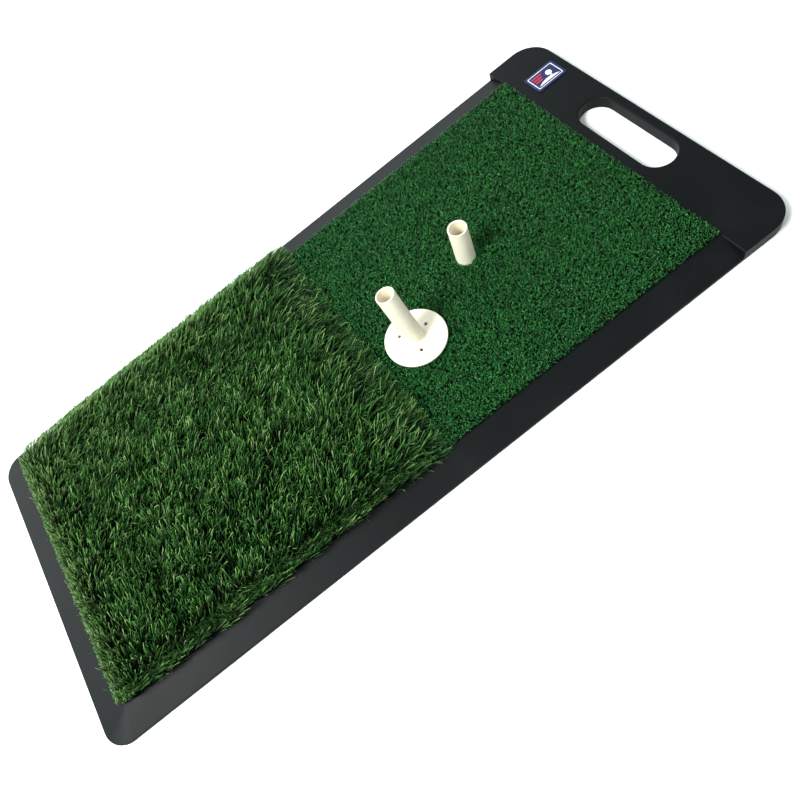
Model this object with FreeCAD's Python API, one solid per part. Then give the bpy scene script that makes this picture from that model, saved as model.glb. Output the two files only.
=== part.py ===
"""A portable golf hitting mat: a moulded rubber tray with short and long turf and two rubber tees.

Frame: the origin is the middle of the underside, +X runs along the mat towards the hand slot,
+Y runs across it towards the left rail, and +Z is up. Everything is in millimetres.
"""

import FreeCAD, Part
import math
import os

from FreeCAD import Vector

PARTS_FOLDER = "parts"

# ---- driving dimensions: rubber tray ----
mat_length = 610.0
mat_width = 280.0
plate_thickness = 10.0
plate_length = 48.5
lip_height = 2.5
side_border = 22.5
end_border = 27.5
rail_land = 1.5
end_corner_radius = 18.0
land_corner_radius = 2.5
plate_corner_radius = 22.5
tray_floor_height = 5.2
top_edge_radius = 1.0
lip_edge_radius = 0.8

# ---- driving dimensions: hand slot ----
slot_length = 94.0
slot_width = 30.0
slot_centre_x = 282.0

# ---- driving dimensions: grip grooves on the underside ----
groove_width = 2.4
groove_depth = 0.8
groove_pitch = 12.0
groove_margin = 14.0
groove_clearance = 6.0

# ---- driving dimensions: turf lay-up ----
turf_gap = 0.5
adhesive_thickness = 0.4
latex_thickness = 1.4
primary_thickness = 0.8
turf_split_x = 0.0
fairway_pile_top = 14.0
rough_thatch_top = 16.0
rough_blade_top = 32.0
rough_overhang = 7.0
rough_crown_radius = 6.0
fairway_crown_radius = 1.5

# ---- driving dimensions: rubber tees ----
installed_tee_x = 121.8
installed_tee_y = 0.0
tee_hole_radius = 8.5
tee_pocket_radius = 26.5
tee_pocket_depth = 3.0
tray_tee_hole_radius = 10.5
tee_bore_radius = 6.3
tee_edge_radius = 0.5

# ---- driving dimensions: badge ----
badge_centre_x = 282.3
badge_centre_y = 96.0
badge_size_x = 29.5
badge_size_y = 21.0
badge_thickness = 0.8
badge_corner_radius = 2.2
badge_relief = 0.25
badge_border_inset = 2.2
badge_border_width = 0.6
mound_width = 21.0
mound_height = 3.0
mound_offset_y = -6.2
ball_radius = 2.8
ball_offset_x = 4.5
ball_offset_y = 1.0
peg_width = 0.9
stripe_width = 1.2
stripe_spacing = 2.8
stripe_lengths = [9.5, 8.0, 6.5]
stripe_start_x = -10.3
first_stripe_y = 4.6

# ---- places that follow from the driving dimensions ----
low_x = -mat_length / 2
high_x = mat_length / 2
high_y = mat_width / 2
plate_start_x = high_x - plate_length
turf_low_x = low_x + end_border
turf_high_y = high_y - side_border
latex_base = tray_floor_height + adhesive_thickness
primary_base = latex_base + latex_thickness
pile_base = primary_base + primary_thickness

# ---- working allowances ----
cut_margin = 1.0
tolerance = 1e-4
tube_burial = 7.0
edge_search_band = 0.5
rim_search_band = 3.0

installed_tee_shape = {
    "foot": Vector(installed_tee_x, installed_tee_y, 0.3),
    "tube_top": Vector(installed_tee_x, installed_tee_y, 48.0),
    "flange_radius": 25.0,
    "flange_edge": 1.6,
    "flange_root": 2.4,
    "tube_foot_radius": 8.0,
    "tube_rim_radius": 7.65,
    "root_fillet": 1.5,
    "hole_angles": [],
    "mark_angles": [],
}
spare_tee_shape = {
    "foot": Vector(49.5, -31.7, 14.3),
    "tube_top": Vector(45.6, -22.0, 69.0),
    "flange_radius": 24.8,
    "flange_edge": 1.3,
    "flange_root": 2.7,
    "tube_foot_radius": 7.7,
    "tube_rim_radius": 7.45,
    "root_fillet": 3.0,
    "hole_angles": [15.0, 135.0, 255.0],
    "mark_angles": [-54.0],
}
flange_hole_radius = 1.5
flange_hole_circle_radius = 12.7
moulding_mark_radius = 3.3
moulding_mark_depth = 0.2
moulding_mark_circle_radius = 17.2


def export(node, shape):
    """Writes one node and reports its size."""
    if not shape.isValid():
        raise ValueError(node + " is not a valid shape")
    shape.exportStep(os.path.join(PARTS_FOLDER, node + ".step"))
    box = shape.optimalBoundingBox()
    print(node, "solids", len(shape.Solids), "volume_mm3", round(shape.Volume, 1))
    print("   x", round(box.XMin, 2), round(box.XMax, 2), "y", round(box.YMin, 2), round(box.YMax, 2),
          "z", round(box.ZMin, 2), round(box.ZMax, 2))


def box_between(low, high):
    """An upright box between two corners."""
    size = high - low
    return Part.makeBox(size.x, size.y, size.z, low)


def rounded_rectangle(low_corner_x, high_corner_x, half_width, low_radius, high_radius, centre_y, z):
    """A flat face with one corner radius at its low-X end and another at its high-X end."""
    corners = [
        (low_corner_x + low_radius, centre_y - half_width + low_radius, low_radius, 180.0),
        (high_corner_x - high_radius, centre_y - half_width + high_radius, high_radius, 270.0),
        (high_corner_x - high_radius, centre_y + half_width - high_radius, high_radius, 0.0),
        (low_corner_x + low_radius, centre_y + half_width - low_radius, low_radius, 90.0),
    ]
    arcs = []
    for x, y, radius, start_angle in corners:
        points = []
        for turn in (0.0, 45.0, 90.0):
            angle = math.radians(start_angle + turn)
            points.append(Vector(x + radius * math.cos(angle), y + radius * math.sin(angle), z))
        arcs.append(points)
    edges = []
    for index, points in enumerate(arcs):
        edges.append(Part.Arc(points[0], points[1], points[2]).toShape())
        next_start = arcs[(index + 1) % len(arcs)][0]
        if points[2].distanceToPoint(next_start) > 1e-6:
            edges.append(Part.makeLine(points[2], next_start))
    return Part.Face(Part.Wire(edges))


# ---------------------------------------------------------------- rubber tray
def border_outline(start_x, half_width, radius, z):
    """A closed wire from the plate to the long-turf end, rounded at its two far corners."""
    chord = radius * (1 - math.sqrt(0.5))
    corner_x = start_x + radius
    corner_y = half_width - radius
    left_arc = Part.Arc(
        Vector(corner_x, half_width, z),
        Vector(start_x + chord, half_width - chord, z),
        Vector(start_x, corner_y, z),
    )
    right_arc = Part.Arc(
        Vector(start_x, -corner_y, z),
        Vector(start_x + chord, -half_width + chord, z),
        Vector(corner_x, -half_width, z),
    )
    return Part.Wire([
        Part.makeLine(Vector(plate_start_x, -half_width, z), Vector(plate_start_x, half_width, z)),
        Part.makeLine(Vector(plate_start_x, half_width, z), left_arc.StartPoint),
        left_arc.toShape(),
        Part.makeLine(left_arc.EndPoint, right_arc.StartPoint),
        right_arc.toShape(),
        Part.makeLine(right_arc.EndPoint, Vector(plate_start_x, -half_width, z)),
    ])


def ramped_border():
    """The tray up to the plate: an upright lip, then ramps that rise to a narrow land round the turf."""
    foot = border_outline(low_x, high_y, end_corner_radius, 0.0)
    lip = Part.Face(foot).extrude(Vector(0, 0, lip_height))
    ramp_foot = border_outline(low_x, high_y, end_corner_radius, lip_height)
    land = border_outline(turf_low_x - rail_land, turf_high_y + rail_land, land_corner_radius,
                          plate_thickness)
    return [lip, Part.makeLoft([ramp_foot, land], True, True)]


def handle_plate():
    """The level plate beyond the turf, with rounded outer corners."""
    outline = rounded_rectangle(low_x, high_x, high_y, end_corner_radius, plate_corner_radius, 0.0, 0.0)
    beyond_turf = box_between(
        Vector(plate_start_x, -high_y - cut_margin, -cut_margin),
        Vector(high_x + cut_margin, high_y + cut_margin, plate_thickness + cut_margin),
    )
    return outline.extrude(Vector(0, 0, plate_thickness)).common(beyond_turf)


def hand_slot_cut():
    """A slot with full-round ends, through the plate."""
    half_width = slot_width / 2
    straight = slot_length / 2 - half_width
    height = plate_thickness + 2 * cut_margin
    middle = box_between(
        Vector(slot_centre_x - half_width, -straight, -cut_margin),
        Vector(slot_centre_x + half_width, straight, plate_thickness + cut_margin),
    )
    ends = [Part.makeCylinder(half_width, height, Vector(slot_centre_x, side * straight, -cut_margin))
            for side in (-1, 1)]
    return middle.fuse(ends).removeSplitter()


def groove_spans(x):
    """The stretches of one crosswise groove, cut short round the tee pocket and the hand slot."""
    half_length = high_y - groove_margin
    blocked = None
    across_pocket = abs(x - installed_tee_x)
    pocket_reach = tee_pocket_radius + groove_clearance
    if across_pocket < pocket_reach:
        blocked = math.sqrt(pocket_reach ** 2 - across_pocket ** 2)
    if abs(x - slot_centre_x) < slot_width / 2 + groove_clearance:
        blocked = slot_length / 2 + groove_clearance
    if blocked is None:
        return [(-half_length, half_length)]
    return [(-half_length, -blocked), (blocked, half_length)]


def grip_groove_cuts():
    """Shallow crosswise grooves that leave gripping ribs on the underside."""
    cuts = []
    count = int((mat_length - 2 * groove_margin) / groove_pitch)
    first_x = -count * groove_pitch / 2
    for index in range(count + 1):
        x = first_x + index * groove_pitch
        for start_y, end_y in groove_spans(x):
            cuts.append(box_between(
                Vector(x - groove_width / 2, start_y, -cut_margin),
                Vector(x + groove_width / 2, end_y, groove_depth),
            ))
    return cuts


def is_level_at(edge, z):
    """True for an edge that lies level at one height."""
    box = edge.BoundBox
    return abs(box.ZMin - z) < tolerance and abs(box.ZMax - z) < tolerance


def edge_is_on_top_rim(edge):
    """True for the plate's own upper edges: its outline, its step to the ramps and the slot."""
    box = edge.BoundBox
    on_plate = box.XMin > plate_start_x - tolerance
    on_step = abs(box.XMax - plate_start_x) < tolerance
    within_turf = box.YMax < turf_high_y + tolerance and box.YMin > -turf_high_y - tolerance
    return is_level_at(edge, plate_thickness) and on_plate and not (on_step and within_turf)


def edge_is_on_lip(edge):
    """True for the level upper edges of the thin outer lip."""
    return is_level_at(edge, lip_height) and edge.BoundBox.XMax < plate_start_x + tolerance


def rubber_base():
    tray = handle_plate().fuse(ramped_border()).removeSplitter()
    tray = tray.cut(hand_slot_cut())
    tray = tray.makeFillet(top_edge_radius, [e for e in tray.Edges if edge_is_on_top_rim(e)])
    tray = tray.makeFillet(lip_edge_radius, [e for e in tray.Edges if edge_is_on_lip(e)])
    recess = box_between(
        Vector(turf_low_x, -turf_high_y, tray_floor_height),
        Vector(plate_start_x, turf_high_y, plate_thickness + cut_margin),
    )
    tee_axis_foot = Vector(installed_tee_x, installed_tee_y, -cut_margin)
    pocket = Part.makeCylinder(tee_pocket_radius, tee_pocket_depth + cut_margin, tee_axis_foot)
    hole = Part.makeCylinder(tray_tee_hole_radius, plate_thickness, tee_axis_foot)
    return tray.cut([recess, pocket, hole] + grip_groove_cuts())


# ---------------------------------------------------------------- turf lay-up
def turf_footprint(is_fairway):
    """The low and high X of one turf, with a gap at the tray's walls and at the joint."""
    if is_fairway:
        return turf_split_x + turf_gap / 2, plate_start_x - turf_gap
    return turf_low_x + turf_gap, turf_split_x - turf_gap / 2


def turf_layer(is_fairway, base, top):
    """One flat layer of a turf, cut round the installed tee where it crosses it."""
    start_x, end_x = turf_footprint(is_fairway)
    half_width = turf_high_y - turf_gap
    layer = box_between(Vector(start_x, -half_width, base), Vector(end_x, half_width, top))
    if not is_fairway:
        return layer
    hole_foot = Vector(installed_tee_x, installed_tee_y, base - cut_margin)
    hole = Part.makeCylinder(tee_hole_radius, top - base + 2 * cut_margin, hole_foot)
    return layer.cut(hole)


def fairway_pile():
    """The short curled pile, with its top edges rounded but not the edge of the tee hole."""
    pile = turf_layer(True, pile_base, fairway_pile_top)
    edges = []
    for edge in pile.Edges:
        from_tee = math.hypot(edge.CenterOfMass.x - installed_tee_x, edge.CenterOfMass.y - installed_tee_y)
        if is_level_at(edge, fairway_pile_top) and from_tee > tee_hole_radius:
            edges.append(edge)
    return pile.makeFillet(fairway_crown_radius, edges)


def level_rectangle(start_x, end_x, half_width, z):
    """A closed wire round a level rectangle."""
    points = [
        Vector(start_x, -half_width, z),
        Vector(end_x, -half_width, z),
        Vector(end_x, half_width, z),
        Vector(start_x, half_width, z),
        Vector(start_x, -half_width, z),
    ]
    return Part.makePolygon(points)


def rough_blades():
    """The mass of the long blades: it widens upwards, because they lean out over the rails."""
    start_x, end_x = turf_footprint(False)
    half_width = turf_high_y - turf_gap
    foot = level_rectangle(start_x, end_x, half_width, rough_thatch_top)
    crown = level_rectangle(start_x - rough_overhang, end_x + rough_overhang,
                            half_width + rough_overhang, rough_blade_top)
    blades = Part.makeLoft([foot, crown], True, True)
    crown_edges = [e for e in blades.Edges if is_level_at(e, rough_blade_top)]
    return blades.makeFillet(rough_crown_radius, crown_edges)


# ---------------------------------------------------------------- rubber tees
def flange_rise(shape):
    """How much the flange's upper side climbs for each millimetre towards its axis."""
    climb = shape["flange_root"] - shape["flange_edge"]
    return climb / (shape["flange_radius"] - shape["tube_foot_radius"])


def flange_solid(shape):
    """A disc whose upper side is a shallow cone."""
    radius = shape["flange_radius"]
    section = [
        Vector(0, 0, 0),
        Vector(radius, 0, 0),
        Vector(radius, 0, shape["flange_edge"]),
        Vector(0, 0, shape["flange_edge"] + flange_rise(shape) * radius),
        Vector(0, 0, 0),
    ]
    flange = Part.Face(Part.makePolygon(section)).revolve(Vector(0, 0, 0), Vector(0, 0, 1), 360)
    flange.translate(shape["foot"])
    return flange


def tube_solid(shape, along, length):
    """The tube without its bore, buried in the flange and trimmed level with its underside."""
    foot = shape["foot"]
    tube = Part.makeCone(shape["tube_foot_radius"], shape["tube_rim_radius"], length + tube_burial,
                         foot - along * tube_burial, along)
    reach = shape["flange_radius"]
    below = box_between(foot - Vector(reach, reach, reach), foot + Vector(reach, reach, 0))
    return tube.cut(below)


def rings(body, centre, low_radius, high_radius, low_height, high_height):
    """Closed edges round an upright axis, by their radius and their height above its foot."""
    found = []
    for edge in body.Edges:
        box = edge.BoundBox
        reach = max(box.XLength, box.YLength) / 2
        in_height = low_height < box.ZMin - centre.z and box.ZMax - centre.z < high_height
        if in_height and low_radius < reach < high_radius:
            found.append(edge)
    return found


def flange_hole_cut(shape, angle):
    """One small hole down through the flange."""
    turn = math.radians(angle)
    outward = Vector(math.cos(turn), math.sin(turn), 0) * flange_hole_circle_radius
    return Part.makeCylinder(flange_hole_radius, tube_burial + cut_margin,
                             shape["foot"] + outward - Vector(0, 0, cut_margin))


def moulding_mark_cut(shape, angle):
    """A faint round witness mark, square to the flange's sloping upper side."""
    turn = math.radians(angle)
    rise = flange_rise(shape)
    square_out = Vector(rise * math.cos(turn), rise * math.sin(turn), 1)
    square_out = square_out / square_out.Length
    distance = moulding_mark_circle_radius
    height = shape["flange_edge"] + rise * (shape["flange_radius"] - distance)
    on_surface = shape["foot"] + Vector(distance * math.cos(turn), distance * math.sin(turn), height)
    floor_centre = on_surface - square_out * moulding_mark_depth
    return Part.makeCylinder(moulding_mark_radius, cut_margin, floor_centre, square_out)


def rubber_tee(shape):
    """A flange with an open tube on it. The tube may lean, as soft rubber does when it stands free."""
    foot = shape["foot"]
    lean = shape["tube_top"] - foot
    along = lean / lean.Length
    body = flange_solid(shape).fuse(tube_solid(shape, along, lean.Length)).removeSplitter()
    root = rings(body, foot, shape["tube_foot_radius"] - edge_search_band,
                 shape["tube_foot_radius"] + 2 * edge_search_band, shape["flange_edge"], tube_burial)
    body = body.makeFillet(shape["root_fillet"], root)
    flange_rim = rings(body, foot, shape["flange_radius"] - edge_search_band,
                       shape["flange_radius"] + edge_search_band, shape["flange_edge"] - edge_search_band,
                       shape["flange_edge"] + edge_search_band)
    body = body.makeFillet(tee_edge_radius, flange_rim)
    bore = Part.makeCylinder(tee_bore_radius, lean.Length + 2 * tube_burial,
                             foot - along * tube_burial, along)
    body = body.cut(bore)
    tube_rims = rings(body, foot, tee_bore_radius - edge_search_band,
                      shape["tube_rim_radius"] + edge_search_band, lean.z - rim_search_band,
                      lean.z + rim_search_band)
    body = body.makeFillet(tee_edge_radius, tube_rims)
    holes = [flange_hole_cut(shape, angle) for angle in shape["hole_angles"]]
    marks = [moulding_mark_cut(shape, angle) for angle in shape["mark_angles"]]
    if holes or marks:
        body = body.cut(holes + marks)
    return body


# ---------------------------------------------------------------- badge
def badge_face(inset, z):
    """The badge's rounded outline, drawn in by an inset."""
    radius = max(badge_corner_radius - inset / 2, 0.8)
    return rounded_rectangle(
        badge_centre_x - badge_size_x / 2 + inset, badge_centre_x + badge_size_x / 2 - inset,
        badge_size_y / 2 - inset, radius, radius, badge_centre_y, z,
    )


def badge_plate():
    return badge_face(0.0, plate_thickness).extrude(Vector(0, 0, badge_thickness))


def badge_border():
    """The raised line that runs round the badge inside its edge."""
    base = plate_thickness + badge_thickness
    outer = badge_face(badge_border_inset, base)
    inner = badge_face(badge_border_inset + badge_border_width, base)
    return outer.cut(inner).extrude(Vector(0, 0, badge_relief))


def badge_white_mark():
    """A plain ball on a peg on a low mound."""
    base = plate_thickness + badge_thickness
    half_width = mound_width / 2
    mound_y = badge_centre_y + mound_offset_y
    left = Vector(badge_centre_x - half_width, mound_y, base)
    right = Vector(badge_centre_x + half_width, mound_y, base)
    top = Vector(badge_centre_x, mound_y + mound_height, base)
    mound_edges = [Part.makeLine(left, right), Part.Arc(right, top, left).toShape()]
    mound = Part.Face(Part.Wire(mound_edges)).extrude(Vector(0, 0, badge_relief))
    ball_centre = Vector(badge_centre_x + ball_offset_x, badge_centre_y + ball_offset_y, base)
    ball = Part.makeCylinder(ball_radius, badge_relief, ball_centre)
    peg = box_between(
        Vector(ball_centre.x - peg_width / 2, mound_y + mound_height / 2, base),
        Vector(ball_centre.x + peg_width / 2, ball_centre.y, base + badge_relief),
    )
    return mound.fuse([ball, peg]).removeSplitter()


def badge_red_mark():
    """Three plain bars beside the ball, each shorter than the one above it."""
    base = plate_thickness + badge_thickness
    start_x = badge_centre_x + stripe_start_x
    bars = []
    for index, length in enumerate(stripe_lengths):
        y = badge_centre_y + first_stripe_y - index * stripe_spacing
        bars.append(box_between(
            Vector(start_x, y - stripe_width / 2, base),
            Vector(start_x + length, y + stripe_width / 2, base + badge_relief),
        ))
    return Part.makeCompound(bars)


def main():
    os.makedirs(PARTS_FOLDER, exist_ok=True)
    export("rubber_base", rubber_base())
    for name, is_fairway in (("fairway", True), ("rough", False)):
        export(name + "_adhesive", turf_layer(is_fairway, tray_floor_height, latex_base))
        export(name + "_latex_backing", turf_layer(is_fairway, latex_base, primary_base))
        export(name + "_primary_backing", turf_layer(is_fairway, primary_base, pile_base))
    export("fairway_pile", fairway_pile())
    export("rough_thatch", turf_layer(False, pile_base, rough_thatch_top))
    export("rough_blades", rough_blades())
    export("installed_tee", rubber_tee(installed_tee_shape))
    export("spare_tee", rubber_tee(spare_tee_shape))
    export("badge_plate", badge_plate())
    export("badge_border", badge_border())
    export("badge_white_mark", badge_white_mark())
    export("badge_red_mark", badge_red_mark())


main()
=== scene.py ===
import math

import bpy
import numpy as np
from mathutils import Matrix, Vector


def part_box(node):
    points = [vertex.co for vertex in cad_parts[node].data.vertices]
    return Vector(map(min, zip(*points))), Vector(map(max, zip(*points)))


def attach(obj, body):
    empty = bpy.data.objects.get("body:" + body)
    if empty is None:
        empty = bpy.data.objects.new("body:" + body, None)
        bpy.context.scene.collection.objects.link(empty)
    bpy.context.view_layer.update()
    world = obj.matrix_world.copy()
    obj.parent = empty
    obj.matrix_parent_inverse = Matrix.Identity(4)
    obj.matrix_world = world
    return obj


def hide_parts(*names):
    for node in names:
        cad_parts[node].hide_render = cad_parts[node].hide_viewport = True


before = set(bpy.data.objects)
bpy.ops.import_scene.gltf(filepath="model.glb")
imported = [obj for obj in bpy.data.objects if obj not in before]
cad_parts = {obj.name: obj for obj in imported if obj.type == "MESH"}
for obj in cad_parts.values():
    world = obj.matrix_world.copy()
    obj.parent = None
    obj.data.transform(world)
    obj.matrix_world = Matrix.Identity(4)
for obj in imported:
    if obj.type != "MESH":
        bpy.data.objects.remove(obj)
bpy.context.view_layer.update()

MM = 0.001
MAT_BODY = "mat"

# ---- camera ----
CAMERA_POSITION = Vector((-0.0131, -0.3056, 0.4551))
CAMERA_AIM = Vector((-0.0188, -0.0475, 0.0))
CAMERA_ROLL_DEGREES = -39.5
CAMERA_LENS_MM = 30.64
CAMERA_SHIFT = (0.0465, 0.0188)

# ---- fibres: U holds the tone, which differs a little across each fibre, and V runs from root to tip ----
BAKE_UV = "OFBake"
TONE_WIDTH = 0.012
ROOT_V = 0.02
TIP_V = 0.98
LIGHTEST_TONE = 0.98
DARKEST_TONE = 0.02

# ---- long blades: the shares of their length where they have rings, and their widths there ----
BLADE_SHARES = np.array([0.0, 0.3, 0.55, 0.78, 0.95, 1.0])
BLADE_WIDTHS = np.array([0.8, 1.0, 1.0, 0.95, 0.75, 0.0])
BLADE_SEED = 47
BLADE_PIECES = 4
BLADES_PER_TUFT = 6
TUFT_PITCH_X = 4.2 * MM
TUFT_PITCH_Y = 4.1 * MM
TUFT_RADIUS = 0.9 * MM
TUFT_JITTER = 0.5
LEFT_EDGE_TUFTS = 320
LEFT_EDGE_DEPTH = 5 * MM
LEFT_EDGE_START = 3 * MM
BLADE_HALF_WIDTH = (0.24 * MM, 0.42 * MM)
BLADE_FOLD = 0.4
BLADE_FOLD_LEAST = 0.02 * MM
BLADE_LENGTH = 27.8 * MM
BLADE_LENGTH_SPREAD = 3.2 * MM
BLADE_LENGTH_SWELL = 2.4 * MM
LEAST_TILT = 0.05
NEAR_END_UPRIGHT = 0.75
NEAR_END_STRAIGHT = 0.6
# A few blades are pale: partly pale yarn, partly painted highlights that stand in for glints on the blades.
PALE_BLADE_AND_PAINTED_HIGHLIGHT_SHARE = 0.03
PALE_BLADE_AND_PAINTED_HIGHLIGHT_TONES = (0.9, 0.98)
GREENEST_TONE = 0.9

# ---- zones of the long turf: how far each reaches in from its edge, and the cells of the smooth noise ----
BESIDE_FAIRWAY_REACH = 45 * MM
NEAR_END_REACH = 26 * MM
RIGHT_EDGE_REACH = 8 * MM
LEFT_EDGE_REACH = 16 * MM
SWAY_CELL = 24 * MM
SWELL_CELL = 13 * MM

# How each value of a blade changes over the zones of the long turf that blade_zones() returns.
# The angles are in radians: a heading of 0 points at the short turf, and a tilt of 0 stands upright.
HEADING_BY_ZONE = {"everywhere": 0.4, "from_right": -0.6, "beside_fairway": -0.4, "sway": 0.4}
EDGE_HEADING_BY_ZONE = {"right_edge": -1.3, "left_edge": 0.9}
TILT_BY_ZONE = {"everywhere": 0.22, "from_right": 0.3, "near_left": 0.42, "swell": 0.18,
                "beside_fairway": 0.6, "right_edge": 0.3, "left_edge": -0.15}
BEND_BY_ZONE = {"everywhere": 0.45, "beside_fairway": 0.35, "right_edge": 0.35, "near_end": -0.2}
LENGTH_SHARE_BY_ZONE = {"everywhere": 1.0, "near_end": -0.24, "left_edge": 0.04, "right_edge": -0.1}
# Painted light: near_end, left_edge and near_left lift the tone where light falls on the edges of the long
# turf.
TONE_AND_PAINTED_LIGHT_BY_ZONE = {"everywhere": 0.42, "sway": 0.06, "swell": 0.1, "near_end": 0.44, "left_edge": 0.3,
                "near_left": 0.26}
TUFT_HEADING_SPREAD = 0.35
BLADE_HEADING_SPREAD = 0.32
TUFT_TILT_SPREAD = 0.14
BLADE_TILT_SPREAD = 0.12
BLADE_BEND_SPREAD = 0.22
BLADE_TWIST_SPREAD = 0.22
BLADE_FACING_SPREAD = 0.5
BLADE_TONE_SPREAD = 0.3

# How far the blades reach past the edges of the long turf, and how high they stand along its left edge.
OVER_FAIRWAY = 17 * MM
OVER_RIGHT_RAIL = 3 * MM
OVER_LEFT_RAIL = 9 * MM
LEFT_EDGE_TOP = 25 * MM
STRAY_HEIGHT = 2 * MM

# ---- thatch between the roots of the long blades ----
CURL_SHARES = np.array([0.0, 0.35, 0.65, 0.92, 1.0])
CURL_WIDTHS = np.array([0.9, 1.0, 1.0, 0.85, 0.0])
THATCH_SEED = 83
THATCH_PIECES = 2
THATCH_PITCH = 4 * MM
THATCH_PER_EDGE = 1700
THATCH_EDGE_DEPTH = 4 * MM
THATCH_LENGTH = (13 * MM, 19 * MM)
THATCH_HALF_WIDTH = (0.15 * MM, 0.26 * MM)
THATCH_TILT = (0.0, 0.4)
THATCH_BEND = (0.2, 1.2)
THATCH_TWIST_SPREAD = 1.6
THATCH_FACING = (-0.8, 0.8)
# The thatch's tone by zone: painted shade inside, where it lies between the blades, and painted light at the
# near end, where light falls on it.
THATCH_INNER_PAINTED_SHADE_TONE = 0.12
THATCH_SIDE_TONE = 0.3
THATCH_END_PAINTED_LIGHT_TONE = 0.72
THATCH_TONE_SPREAD = 0.18
THATCH_HEADROOM = 4 * MM

# ---- curled pile of the short turf ----
PILE_SHARES = np.array([0.0, 0.45, 0.8, 1.0])
PILE_WIDTHS = np.array([0.9, 1.0, 0.95, 0.0])
PILE_SEED = 21
PILE_PIECES = 6
PILE_PITCH = 0.98 * MM
PILE_LENGTH = 6.6 * MM
PILE_LENGTH_SWELL = 0.4 * MM
PILE_LENGTH_SPREAD = 0.55 * MM
PILE_HALF_WIDTH = (0.24 * MM, 0.36 * MM)
PILE_TILT = (0.0, 0.45)
PILE_BEND = (0.5, 2.1)
PILE_TWIST_SPREAD = 1.2
PILE_FACING = (-0.6, 0.6)
PILE_SWELL_CELL = 9 * MM
PILE_TONE = 0.48
PILE_TONE_SPREAD = 0.26
PILE_HEADROOM = 0.8 * MM
PILE_UNDER_ROUGH = 3 * MM
ROUND_RIDGE = 0.8

# ---- the pile round the two tees ----
TUBE_RADIUS = 8.05 * MM
TUBE_CLEARANCE = 0.3 * MM
RING_COUNT = 260
RING_REACH = (0.4 * MM, 2.5 * MM)
FLANGE_CLEARANCE = 0.4 * MM
FLANGE_MARGIN = 0.6 * MM
FLANGE_SINK = 2.4 * MM
FLANGE_SINK_REACH = 8 * MM

# ---- colours, darkest first; a painted shade multiplies the tone from root to tip, darkest at the root where the yarn lies in shade ----
ROUGH_TONES = [
    (0.0, (0.008, 0.045, 0.008)),
    (0.35, (0.042, 0.175, 0.032)),
    (0.62, (0.120, 0.385, 0.068)),
    (0.85, (0.290, 0.690, 0.160)),
    (1.0, (0.660, 0.800, 0.360)),
]
THATCH_TONES = [
    (0.0, (0.008, 0.040, 0.007)),
    (0.5, (0.085, 0.240, 0.045)),
    (1.0, (0.320, 0.540, 0.160)),
]
FAIRWAY_TONES = [
    (0.0, (0.002, 0.050, 0.009)),
    (0.4, (0.016, 0.225, 0.034)),
    (0.75, (0.050, 0.430, 0.074)),
    (1.0, (0.190, 0.680, 0.170)),
]
# Painted shade: the lower part of each fibre is darkened towards black, where it lies in shade between the
# others.
BLADE_PAINTED_ROOT_SHADE = [(0.0, 0.02), (0.4, 0.03), (0.72, 0.5), (1.0, 1.0)]
THATCH_PAINTED_ROOT_SHADE = [(0.0, 0.05), (0.4, 0.3), (0.75, 0.9), (1.0, 1.0)]
PILE_PAINTED_ROOT_SHADE = [(0.0, 0.01), (0.5, 0.06), (0.8, 0.65), (1.0, 1.0)]

# ---- studio ----
SKY_COLOUR = (0.92, 0.99, 1.0, 1.0)
SKY_STRENGTH = 0.36
COOL_LIGHT = (0.90, 0.98, 1.0)
DAYLIGHT = (0.96, 1.0, 0.98)
LIGHTS = [
    # name, place, size, power, colour
    ("key", (-0.95, -0.15, 1.3), 0.5, 40.0, DAYLIGHT),
    ("window", (0.3, 1.8, 1.2), 1.5, 28.0, COOL_LIGHT),
    ("low_window", (-1.6, 1.2, 0.8), 1.2, 14.0, COOL_LIGHT),
    ("fill", (0.2, -1.3, 1.1), 1.2, 9.0, DAYLIGHT),
]
FLOOR_REACH = 6.0


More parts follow.
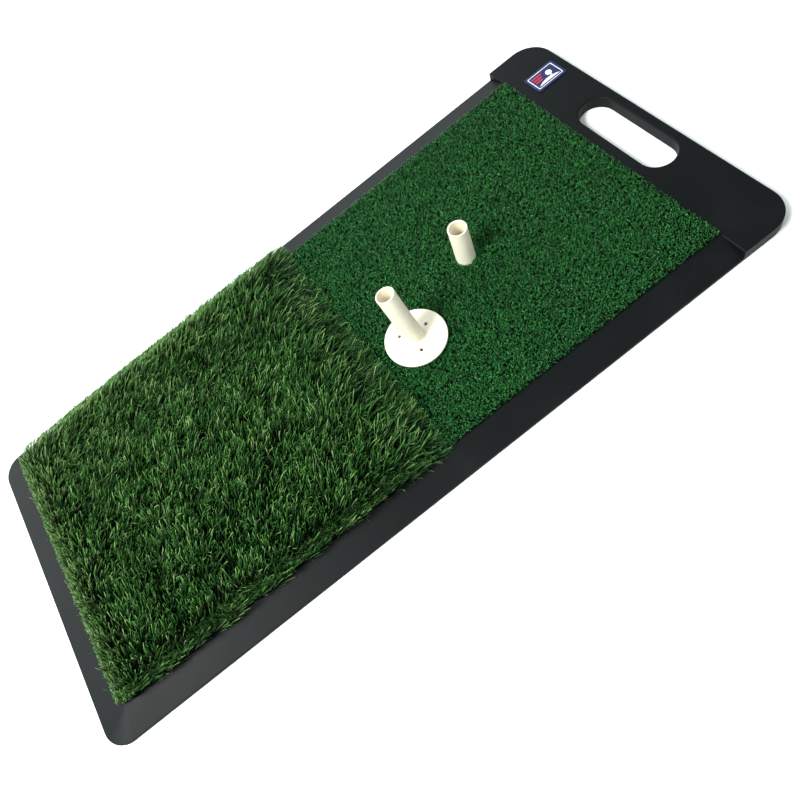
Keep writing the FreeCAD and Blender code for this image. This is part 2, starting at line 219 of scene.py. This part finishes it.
# ---------------------------------------------------------------- node helpers
class Shader:
    """A material with short calls for the nodes that it is made of."""

    def __init__(self, name):
        self.material = bpy.data.materials.new(name)
        self.material.use_nodes = True
        self.tree = self.material.node_tree
        self.bsdf = self.tree.nodes["Principled BSDF"]

    def node(self, kind, **settings):
        made = self.tree.nodes.new(kind)
        for key, value in settings.items():
            setattr(made, key, value)
        return made

    def link(self, source, target):
        self.tree.links.new(source, target)

    def set(self, **values):
        """Sets the shader's own sockets by name, with spaces for underscores."""
        for key, value in values.items():
            self.bsdf.inputs[key.replace("_", " ")].default_value = value
        return self

    def position(self):
        """The point in the row frame."""
        return self.node("ShaderNodeTexCoord").outputs["Object"]

    def noise(self, scale, detail=3.0):
        made = self.node("ShaderNodeTexNoise")
        made.inputs["Scale"].default_value = scale
        made.inputs["Detail"].default_value = detail
        made.inputs["Roughness"].default_value = 0.55
        self.link(self.position(), made.inputs["Vector"])
        return made.outputs["Fac"]

    def ramp(self, value, stops):
        """A colour ramp whose stops are (place, colour) pairs."""
        made = self.node("ShaderNodeValToRGB")
        ramp = made.color_ramp
        while len(ramp.elements) < len(stops):
            ramp.elements.new(0.5)
        for element, (place, colour) in zip(ramp.elements, stops):
            element.position = place
            element.color = (*colour, 1.0)
        self.link(value, made.inputs["Fac"])
        return made.outputs["Color"]

    def spread(self, value, low, high):
        """Maps 0..1 to low..high."""
        made = self.node("ShaderNodeMapRange")
        made.inputs["To Min"].default_value = low
        made.inputs["To Max"].default_value = high
        self.link(value, made.inputs["Value"])
        return made.outputs["Result"]

    def multiply(self, first, second):
        """The product of two colours. The mix node has its colours at sockets 6 and 7, its result at 2."""
        made = self.node("ShaderNodeMix", data_type="RGBA", blend_type="MULTIPLY")
        made.inputs["Factor"].default_value = 1.0
        self.link(first, made.inputs[6])
        self.link(second, made.inputs[7])
        return made.outputs[2]

    def bump(self, height, strength, distance):
        made = self.node("ShaderNodeBump")
        made.inputs["Strength"].default_value = strength
        made.inputs["Distance"].default_value = distance
        self.link(height, made.inputs["Height"])
        self.link(made.outputs["Normal"], self.bsdf.inputs["Normal"])

    def colour(self, value):
        """Colours the surface."""
        self.link(value, self.bsdf.inputs["Base Color"])

    def roughness(self, value):
        self.link(value, self.bsdf.inputs["Roughness"])


# ---------------------------------------------------------------- materials
def base_rubber():
    shader = Shader("base_rubber")
    smudges = shader.noise(14.0, detail=5.0)
    shader.colour(shader.ramp(smudges, [
        (0.3, (0.0018, 0.0024, 0.0027)),
        (0.55, (0.0028, 0.0037, 0.0042)),
        (0.75, (0.0055, 0.0069, 0.0078)),
    ]))
    shader.set(Specular_IOR_Level=0.15)
    shader.roughness(shader.spread(smudges, low=0.42, high=0.58))
    shader.bump(shader.noise(1400.0, detail=2.0), strength=0.12, distance=0.4 * MM)
    return shader.material


def tee_rubber():
    shader = Shader("tee_rubber")
    mottle = shader.noise(60.0, detail=4.0)
    shader.colour(shader.ramp(mottle, [
        (0.3, (0.80, 0.73, 0.57)),
        (0.7, (0.86, 0.80, 0.65)),
    ]))
    shader.roughness(shader.spread(mottle, low=0.38, high=0.55))
    shader.bump(shader.noise(700.0), strength=0.05, distance=0.3 * MM)
    return shader.material


def yarn(name, tones, painted_root_shade, roughness, specular):
    """Yarn whose tone runs along U from fibre to fibre, and which is darker at its root along V: painted
    shade, where the yarn lies in shade.
    """
    shader = Shader(name)
    layout = shader.node("ShaderNodeSeparateXYZ")
    coordinates = shader.node("ShaderNodeUVMap", uv_map=BAKE_UV)
    shader.link(coordinates.outputs["UV"], layout.inputs["Vector"])
    tone = shader.ramp(layout.outputs["X"], tones)
    # Painted shade: this ramp along V darkens each fibre towards its root.
    painted_shading = shader.ramp(layout.outputs["Y"], [(place, (level,) * 3) for place, level in painted_root_shade])
    shader.colour(shader.multiply(tone, painted_shading))
    shader.set(Roughness=roughness, Specular_IOR_Level=specular)
    return shader.material


def woven_backing():
    shader = Shader("woven_backing")
    shader.colour(shader.ramp(shader.noise(500.0), [
        (0.3, (0.002, 0.008, 0.003)),
        (0.7, (0.006, 0.022, 0.008)),
    ]))
    shader.set(Roughness=0.9)
    return shader.material


def badge_plastic(name, dark, light):
    shader = Shader(name)
    shader.colour(shader.ramp(shader.noise(300.0), [(0.3, dark), (0.7, light)]))
    shader.set(Roughness=0.35)
    return shader.material


def glue():
    shader = Shader("glue")
    shader.colour(shader.ramp(shader.noise(90.0), [(0.3, (0.35, 0.3, 0.2)), (0.7, (0.5, 0.45, 0.32))]))
    shader.set(Roughness=0.4)
    return shader.material


def latex():
    shader = Shader("latex")
    shader.colour(shader.ramp(shader.noise(120.0), [(0.3, (0.01, 0.012, 0.01)), (0.7, (0.02, 0.024, 0.02))]))
    shader.set(Roughness=0.8)
    return shader.material


def paint(node, material):
    """Gives a CAD node its material."""
    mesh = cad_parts[node].data
    mesh.materials.clear()
    mesh.materials.append(material)


# ---------------------------------------------------------------- fibres
def smooth_field(rng, x, y, cell):
    """Smooth noise from -1 to 1 over the plane: random values on a grid, blended between its corners."""
    grid = rng.uniform(-1.0, 1.0, (256, 256))
    u = x / cell + 100.0
    v = y / cell + 100.0
    column = np.floor(u).astype(int)
    row = np.floor(v).astype(int)
    s = u - column
    t = v - row
    s = s * s * (3 - 2 * s)
    t = t * t * (3 - 2 * t)
    column %= 255
    row %= 255
    low = grid[column, row] * (1 - s) + grid[column + 1, row] * s
    high = grid[column, row + 1] * (1 - s) + grid[column + 1, row + 1] * s
    return low * (1 - t) + high * t


def jittered_grid(rng, low, high, pitch_x, pitch_y, jitter):
    """Points on a loosened grid over a rectangle."""
    xs = np.arange(low[0] + pitch_x / 2, high[0], pitch_x)
    ys = np.arange(low[1] + pitch_y / 2, high[1], pitch_y)
    x, y = np.meshgrid(xs, ys, indexing="ij")
    x = x.ravel() + rng.uniform(-jitter, jitter, x.size) * pitch_x
    y = y.ravel() + rng.uniform(-jitter, jitter, y.size) * pitch_y
    return x, y


def unit(vectors):
    """The vectors, each divided by its length."""
    return vectors / np.maximum(np.linalg.norm(vectors, axis=-1, keepdims=True), 1e-9)


def fibre_piece(name, centres, across, half_width, ridge, tone, material, slot):
    """Closed three-sided fibres with pointed tips.

    centres is (fibres, rings, 3), across (fibres, rings, 3) the unit vector across each fibre, half_width
    (fibres, rings) and ridge (fibres, rings) its size there. The last ring closes to one point.
    """
    count, rings, _ = centres.shape
    along = unit(np.gradient(centres, axis=1))
    outward = unit(np.cross(along, across))
    side = across * half_width[..., None]
    lift = outward * ridge[..., None]
    body = np.stack([centres - side, centres + lift, centres + side], axis=2)[:, :-1]
    per_fibre = 3 * (rings - 1) + 1
    points = np.concatenate([body.reshape(count, -1, 3), centres[:, -1:, :]], axis=1)

    quads = []
    for ring in range(rings - 2):
        for corner in range(3):
            after = (corner + 1) % 3
            quads.append((3 * ring + corner, 3 * ring + after, 3 * ring + 3 + after, 3 * ring + 3 + corner))
    last = 3 * (rings - 2)
    tip = per_fibre - 1
    triangles = [(2, 1, 0)] + [(last + corner, last + (corner + 1) % 3, tip) for corner in range(3)]
    starts = (np.arange(count) * per_fibre)[:, None, None]
    quad_loops = (np.array(quads)[None] + starts).reshape(-1)
    triangle_loops = (np.array(triangles)[None] + starts).reshape(-1)
    loops = np.concatenate([quad_loops, triangle_loops])
    sizes = np.concatenate([np.full(len(quad_loops) // 4, 4), np.full(len(triangle_loops) // 3, 3)])
    first_loops = np.concatenate([[0], np.cumsum(sizes)[:-1]])

    mesh = bpy.data.meshes.new(name)
    mesh.vertices.add(count * per_fibre)
    mesh.vertices.foreach_set("co", points.astype(np.float32).ravel())
    mesh.loops.add(len(loops))
    mesh.loops.foreach_set("vertex_index", loops.astype(np.int32))
    mesh.polygons.add(len(sizes))
    mesh.polygons.foreach_set("loop_start", first_loops.astype(np.int32))
    mesh.polygons.foreach_set("use_smooth", np.ones(len(sizes), bool))
    mesh.update(calc_edges=True)

    heights = np.repeat(np.linspace(ROOT_V, TIP_V, rings)[:-1], 3)
    shifts = np.tile([-TONE_WIDTH, 0.0, TONE_WIDTH], rings - 1)
    u = np.concatenate([tone[:, None] + shifts[None], tone[:, None]], axis=1)
    v = np.broadcast_to(np.concatenate([heights, [TIP_V]]), u.shape)
    uv = np.stack([np.clip(u, 0.001, 0.999), v], axis=-1).reshape(-1, 2)
    layer = mesh.uv_layers.new(name=BAKE_UV)
    layer.data.foreach_set("uv", uv[loops].astype(np.float32).ravel())

    mesh.materials.append(material)
    piece = bpy.data.objects.new(name, mesh)
    bpy.context.scene.collection.objects.link(piece)
    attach(piece, MAT_BODY)
    return piece


def grown_paths(x, y, root_z, length, azimuth, tilt, bend, twist, shares, bend_power=1.0):
    """Paths that start at their roots and lean over: they turn from tilt to tilt + bend, and by twist."""
    middle = (shares[1:] + shares[:-1]) / 2
    angle = tilt[:, None] + bend[:, None] * middle[None] ** bend_power
    heading = azimuth[:, None] + twist[:, None] * middle[None]
    step = length[:, None] * np.diff(shares)[None]
    steps = np.stack([
        np.sin(angle) * np.cos(heading) * step,
        np.sin(angle) * np.sin(heading) * step,
        np.cos(angle) * step,
    ], axis=-1)
    roots = np.stack([x, y, np.full(len(x), root_z)], axis=-1)[:, None, :]
    return np.concatenate([roots, roots + np.cumsum(steps, axis=1)], axis=1)


def across_of(centres, facing):
    """A unit vector across each fibre: level where the fibre allows it, and turned by facing about it."""
    along = unit(np.gradient(centres, axis=1))
    level = unit(np.cross(along, np.array([0.0, 0.0, 1.0])) + 1e-6)
    other = unit(np.cross(along, level))
    turn = facing[:, None, None]
    return unit(level * np.cos(turn) + other * np.sin(turn))


def soft_wall(values, low, high, give):
    """Pulls in what lies beyond two limits, so that only a share of it, give, is left outside."""
    values = np.where(values < low, low + (values - low) * give, values)
    return np.where(values > high, high + (values - high) * give, values)


def near_edge(value, edge, reach):
    """From 0 at reach away from an edge to 1 at the edge, smoothly."""
    share = np.clip(1.0 - np.abs(value - edge) / reach, 0.0, 1.0)
    return share * share * (3 - 2 * share)


def widths(rng, count, limits, profile):
    """Half the width of each fibre at its rings: one width per fibre, times the profile."""
    return rng.uniform(*limits, count)[:, None] * profile[None]


def blade_zones(rng, x, y, low, high):
    """How much each blade belongs to each zone of the long turf."""
    from_right = (y - low.y) / (high.y - low.y)
    from_fairway = (high.x - x) / (high.x - low.x)
    return {
        "everywhere": np.ones(len(x)),
        "sway": smooth_field(rng, x, y, SWAY_CELL),
        "swell": smooth_field(rng, x, y, SWELL_CELL),
        "from_right": from_right,
        "near_left": from_right * from_fairway,
        "beside_fairway": near_edge(x, high.x, BESIDE_FAIRWAY_REACH),
        "near_end": near_edge(x, low.x, NEAR_END_REACH),
        "right_edge": near_edge(y, low.y, RIGHT_EDGE_REACH),
        "left_edge": near_edge(y, high.y, LEFT_EDGE_REACH),
    }


def by_zone(amounts, zones):
    """The sum of some zones, each times its amount."""
    return sum(amount * zones[zone] for zone, amount in amounts.items())


def comb_blades(centres, low, high):
    """Pulls in the blades that reach too far past an edge, and those that stand too high."""
    centres[..., 0] = soft_wall(centres[..., 0], low.x + 0.3 * MM, high.x + OVER_FAIRWAY, give=0.25)
    centres[..., 1] = soft_wall(centres[..., 1], low.y - OVER_RIGHT_RAIL, high.y + OVER_LEFT_RAIL, give=0.2)
    from_left = high.y - centres[..., 1]
    combed_top = LEFT_EDGE_TOP + np.maximum(0.8 * from_left, from_left)
    centres[..., 2] = soft_wall(centres[..., 2], low.z, combed_top, give=0.3)
    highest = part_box("rough_blades")[1].z + STRAY_HEIGHT
    centres[..., 2] = np.minimum(centres[..., 2], highest)


def rough_blades():
    """Long flat blades in tufts, leaning towards the short turf and hanging over its edge."""
    rng = np.random.default_rng(BLADE_SEED)
    low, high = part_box("rough_thatch")
    x, y = jittered_grid(rng, low, high, TUFT_PITCH_X, TUFT_PITCH_Y, TUFT_JITTER)
    x = np.concatenate([x, rng.uniform(low.x + LEFT_EDGE_START, high.x, LEFT_EDGE_TUFTS)])
    y = np.concatenate([y, high.y - rng.uniform(0, LEFT_EDGE_DEPTH, LEFT_EDGE_TUFTS)])
    tufts = len(x)
    tuft = np.repeat(np.arange(tufts), BLADES_PER_TUFT)
    count = len(tuft)
    x = np.clip(x[tuft] + rng.normal(0, TUFT_RADIUS, count), low.x, high.x)
    y = np.clip(y[tuft] + rng.normal(0, TUFT_RADIUS, count), low.y, high.y)
    zones = blade_zones(rng, x, y, low, high)

    azimuth = by_zone(HEADING_BY_ZONE, zones)
    azimuth += rng.normal(0, TUFT_HEADING_SPREAD, tufts)[tuft] + rng.normal(0, BLADE_HEADING_SPREAD, count)
    azimuth = azimuth * (1 - NEAR_END_STRAIGHT * zones["near_end"]) + by_zone(EDGE_HEADING_BY_ZONE, zones)
    tilt = by_zone(TILT_BY_ZONE, zones)
    tilt += rng.normal(0, TUFT_TILT_SPREAD, tufts)[tuft] + rng.normal(0, BLADE_TILT_SPREAD, count)
    tilt = np.maximum(tilt, LEAST_TILT) * (1 - NEAR_END_UPRIGHT * zones["near_end"])
    bend = by_zone(BEND_BY_ZONE, zones) + rng.normal(0, BLADE_BEND_SPREAD, count)
    length = BLADE_LENGTH + BLADE_LENGTH_SWELL * zones["swell"] + rng.normal(0, BLADE_LENGTH_SPREAD, count)
    length *= by_zone(LENGTH_SHARE_BY_ZONE, zones)
    twist = rng.normal(0, BLADE_TWIST_SPREAD, count)
    centres = grown_paths(x, y, low.z, length, azimuth, tilt, bend, twist, BLADE_SHARES)
    comb_blades(centres, low, high)

    across = across_of(centres, rng.normal(0, BLADE_FACING_SPREAD, count))
    half_width = widths(rng, count, BLADE_HALF_WIDTH, BLADE_WIDTHS)
    ridge = BLADE_FOLD * half_width + BLADE_FOLD_LEAST
    # Painted light: the tone is lifted at the near end and along the left edge.
    tone = BLADE_TONE_SPREAD * rng.standard_normal(count) + by_zone(TONE_AND_PAINTED_LIGHT_BY_ZONE, zones)
    tone = np.clip(tone, DARKEST_TONE, GREENEST_TONE)
    # Pale blades, partly painted highlights.
    pale_and_highlit_blades = rng.random(count) < PALE_BLADE_AND_PAINTED_HIGHLIGHT_SHARE
    tone[pale_and_highlit_blades] = rng.uniform(*PALE_BLADE_AND_PAINTED_HIGHLIGHT_TONES, pale_and_highlit_blades.sum())
    return centres, across, half_width, ridge, tone


def thatch_curls():
    """Thin curled yarn between the roots of the long blades, densest at its edges and palest at one end:
    painted shade darkens it inside, and painted light makes it palest at the near end.
    """
    rng = np.random.default_rng(THATCH_SEED)
    low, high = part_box("rough_thatch")
    x, y = jittered_grid(rng, low, high, THATCH_PITCH, THATCH_PITCH, TUFT_JITTER)
    inner_count = len(x)
    along_sides = rng.uniform(low.x, high.x, 2 * THATCH_PER_EDGE)
    along_end = rng.uniform(low.y, high.y, THATCH_PER_EDGE)
    from_right, from_left, from_end = rng.uniform(0, THATCH_EDGE_DEPTH, (3, THATCH_PER_EDGE))
    x = np.concatenate([x, along_sides, low.x + from_end])
    y = np.concatenate([y, low.y + from_right, high.y - from_left, along_end])
    count = len(x)
    length = rng.uniform(*THATCH_LENGTH, count)
    tilt = rng.uniform(*THATCH_TILT, count)
    bend = rng.uniform(*THATCH_BEND, count)
    azimuth = rng.uniform(-math.pi, math.pi, count)
    twist = rng.normal(0, THATCH_TWIST_SPREAD, count)
    centres = grown_paths(x, y, low.z, length, azimuth, tilt, bend, twist, CURL_SHARES)
    centres[..., 0] = soft_wall(centres[..., 0], low.x + 0.2 * MM, high.x, give=0.2)
    centres[..., 1] = soft_wall(centres[..., 1], low.y - 0.4 * MM, high.y + 1.0 * MM, give=0.3)
    centres[..., 2] = soft_wall(centres[..., 2], low.z, high.z + THATCH_HEADROOM, give=0.4)
    across = across_of(centres, rng.uniform(*THATCH_FACING, count))
    half_width = widths(rng, count, THATCH_HALF_WIDTH, CURL_WIDTHS)
    # Painted shade inside, painted light at the near end.
    painted_shading = np.full(count, THATCH_INNER_PAINTED_SHADE_TONE)
    painted_shading[inner_count:] = THATCH_SIDE_TONE
    painted_shading[-THATCH_PER_EDGE:] = THATCH_END_PAINTED_LIGHT_TONE
    tone = painted_shading + THATCH_TONE_SPREAD * rng.standard_normal(count)
    return centres, across, half_width, ROUND_RIDGE * half_width, np.clip(tone, DARKEST_TONE, LIGHTEST_TONE)


def part_round_tube(centres, tube_x, tube_y):
    """Pushes the pile out of the tube that stands up through it."""
    from_tube = np.hypot(centres[..., 0] - tube_x, centres[..., 1] - tube_y)
    push = np.maximum(TUBE_RADIUS / np.maximum(from_tube, 1e-6), 1.0)
    centres[..., 0] = tube_x + (centres[..., 0] - tube_x) * push
    centres[..., 1] = tube_y + (centres[..., 1] - tube_y) * push


def press_under_flange(centres):
    """Presses the pile down under the loose tee, the more the further in from the rim of its flange."""
    low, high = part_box("spare_tee")
    radius = (high.x - low.x) / 2
    from_middle = np.hypot(centres[..., 0] - (low.x + radius), centres[..., 1] - (low.y + radius))
    press = np.clip((radius + FLANGE_MARGIN - from_middle) / FLANGE_SINK_REACH, 0.0, 1.0)
    pressed_top = low.z - FLANGE_CLEARANCE - FLANGE_SINK * press
    centres[..., 2] = np.where(press > 0.0, np.minimum(centres[..., 2], pressed_top), centres[..., 2])


def fairway_curls():
    """Short crimped yarn that stands close together: each end rises and hooks over at its tip."""
    rng = np.random.default_rng(PILE_SEED)
    low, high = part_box("fairway_pile")
    x, y = jittered_grid(rng, low, high, PILE_PITCH, PILE_PITCH, TUFT_JITTER)
    tee_low, tee_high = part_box("installed_tee")
    tube_x = (tee_low.x + tee_high.x) / 2
    tube_y = (tee_low.y + tee_high.y) / 2
    ring_angle = rng.uniform(-math.pi, math.pi, RING_COUNT)
    ring_radius = TUBE_RADIUS + rng.uniform(*RING_REACH, RING_COUNT)
    x = np.concatenate([x, tube_x + ring_radius * np.cos(ring_angle)])
    y = np.concatenate([y, tube_y + ring_radius * np.sin(ring_angle)])
    clear = np.hypot(x - tube_x, y - tube_y) > TUBE_RADIUS + TUBE_CLEARANCE
    x = x[clear]
    y = y[clear]
    count = len(x)
    length = PILE_LENGTH + PILE_LENGTH_SWELL * smooth_field(rng, x, y, PILE_SWELL_CELL)
    length += rng.normal(0, PILE_LENGTH_SPREAD, count)
    tilt = rng.uniform(*PILE_TILT, count)
    bend = rng.uniform(*PILE_BEND, count)
    azimuth = rng.uniform(-math.pi, math.pi, count)
    twist = rng.normal(0, PILE_TWIST_SPREAD, count)
    centres = grown_paths(x, y, low.z, length, azimuth, tilt, bend, twist, PILE_SHARES, bend_power=2.0)
    centres[..., 2] = soft_wall(centres[..., 2], low.z, high.z + PILE_HEADROOM, give=0.3)
    centres[..., 0] = soft_wall(centres[..., 0], low.x - PILE_UNDER_ROUGH, high.x, give=0.35)
    centres[..., 1] = soft_wall(centres[..., 1], low.y, high.y, give=0.35)
    part_round_tube(centres, tube_x, tube_y)
    press_under_flange(centres)
    across = across_of(centres, rng.uniform(*PILE_FACING, count))
    half_width = widths(rng, count, PILE_HALF_WIDTH, PILE_WIDTHS)
    tone = PILE_TONE + PILE_TONE_SPREAD * rng.standard_normal(count)
    return centres, across, half_width, ROUND_RIDGE * half_width, np.clip(tone, DARKEST_TONE, LIGHTEST_TONE)


def split_pieces(name, parts, arrays, material, slot, replaced):
    """Makes one family of fibres as several pieces, dealt out in turn, that stand for one CAD node."""
    made = []
    for part in range(parts):
        chosen = [array[part::parts] for array in arrays]
        made.append(fibre_piece(f"{name}_{part + 1}", *chosen, material, slot))
    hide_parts(replaced)
    return made


def make_turf():
    rough_yarn = yarn("rough_yarn", ROUGH_TONES, BLADE_PAINTED_ROOT_SHADE, roughness=0.4, specular=0.18)
    thatch_yarn = yarn("thatch_yarn", THATCH_TONES, THATCH_PAINTED_ROOT_SHADE, roughness=0.5, specular=0.3)
    fairway_yarn = yarn("fairway_yarn", FAIRWAY_TONES, PILE_PAINTED_ROOT_SHADE, roughness=0.42, specular=0.3)
    blades = split_pieces("rough_blade_yarn", BLADE_PIECES, rough_blades(), rough_yarn, "rough_yarn",
                          "rough_blades")
    thatch = split_pieces("rough_thatch_yarn", THATCH_PIECES, thatch_curls(), thatch_yarn, "thatch_yarn",
                          "rough_thatch")
    pile = split_pieces("fairway_pile_yarn", PILE_PIECES, fairway_curls(), fairway_yarn, "fairway_yarn",
                        "fairway_pile")


# ---------------------------------------------------------------- studio
def make_camera():
    """The camera looks at its aim point and is then rolled about its own axis."""
    camera = bpy.data.objects.new("camera", bpy.data.cameras.new("camera"))
    bpy.context.scene.collection.objects.link(camera)
    look = (CAMERA_AIM - CAMERA_POSITION).to_track_quat("-Z", "Y").to_matrix().to_4x4()
    roll = Matrix.Rotation(math.radians(CAMERA_ROLL_DEGREES), 4, "Z")
    camera.matrix_world = Matrix.Translation(CAMERA_POSITION) @ look @ roll
    camera.data.lens = CAMERA_LENS_MM
    camera.data.sensor_width = 36.0
    camera.data.shift_x, camera.data.shift_y = CAMERA_SHIFT
    camera.data.clip_start = 0.01
    bpy.context.scene.camera = camera


def area_light(name, place, size, power, colour):
    """A square light that faces the middle of the mat."""
    data = bpy.data.lights.new(name, "AREA")
    data.energy = power
    data.size = size
    data.color = colour
    light = bpy.data.objects.new(name, data)
    bpy.context.scene.collection.objects.link(light)
    turn = (-Vector(place)).to_track_quat("-Z", "Y").to_matrix().to_4x4()
    light.matrix_world = Matrix.Translation(place) @ turn


def make_floor():
    """A plain pale floor that isn't part of the mat."""
    mesh = bpy.data.meshes.new("floor")
    reach = FLOOR_REACH
    corners = [(-reach, -reach, 0), (reach, -reach, 0), (reach, reach, 0), (-reach, reach, 0)]
    mesh.from_pydata(corners, [], [(0, 1, 2, 3)])
    floor = bpy.data.objects.new("floor", mesh)
    bpy.context.scene.collection.objects.link(floor)
    shader = Shader("floor_paint").set(Base_Color=(0.9, 0.9, 0.9, 1.0), Roughness=0.8)
    mesh.materials.append(shader.material)


def make_studio():
    scene = bpy.context.scene
    scene.view_settings.view_transform = "Standard"
    world = bpy.data.worlds.new("studio")
    world.use_nodes = True
    background = world.node_tree.nodes["Background"]
    background.inputs["Color"].default_value = SKY_COLOUR
    background.inputs["Strength"].default_value = SKY_STRENGTH
    scene.world = world
    for light in LIGHTS:
        area_light(*light)


def paint_nodes():
    """Paints the CAD pieces, except the three yarn solids that the fibres stand for."""
    rubber = base_rubber()
    ivory = tee_rubber()
    white = badge_plastic("badge_white", (0.78, 0.78, 0.8), (0.86, 0.86, 0.87))
    cloth = woven_backing()
    film = glue()
    coat = latex()
    paint("rubber_base", rubber)
    for node in ("installed_tee", "spare_tee"):
        paint(node, ivory)
    for turf in ("fairway", "rough"):
        paint(turf + "_primary_backing", cloth)
        paint(turf + "_latex_backing", coat)
        paint(turf + "_adhesive", film)
    paint("badge_plate", badge_plastic("badge_blue", (0.004, 0.010, 0.070), (0.007, 0.016, 0.095)))
    paint("badge_border", white)
    paint("badge_white_mark", white)
    paint("badge_red_mark", badge_plastic("badge_red", (0.6, 0.02, 0.025), (0.68, 0.03, 0.03)))


make_camera()
make_studio()
make_floor()
paint_nodes()
make_turf()
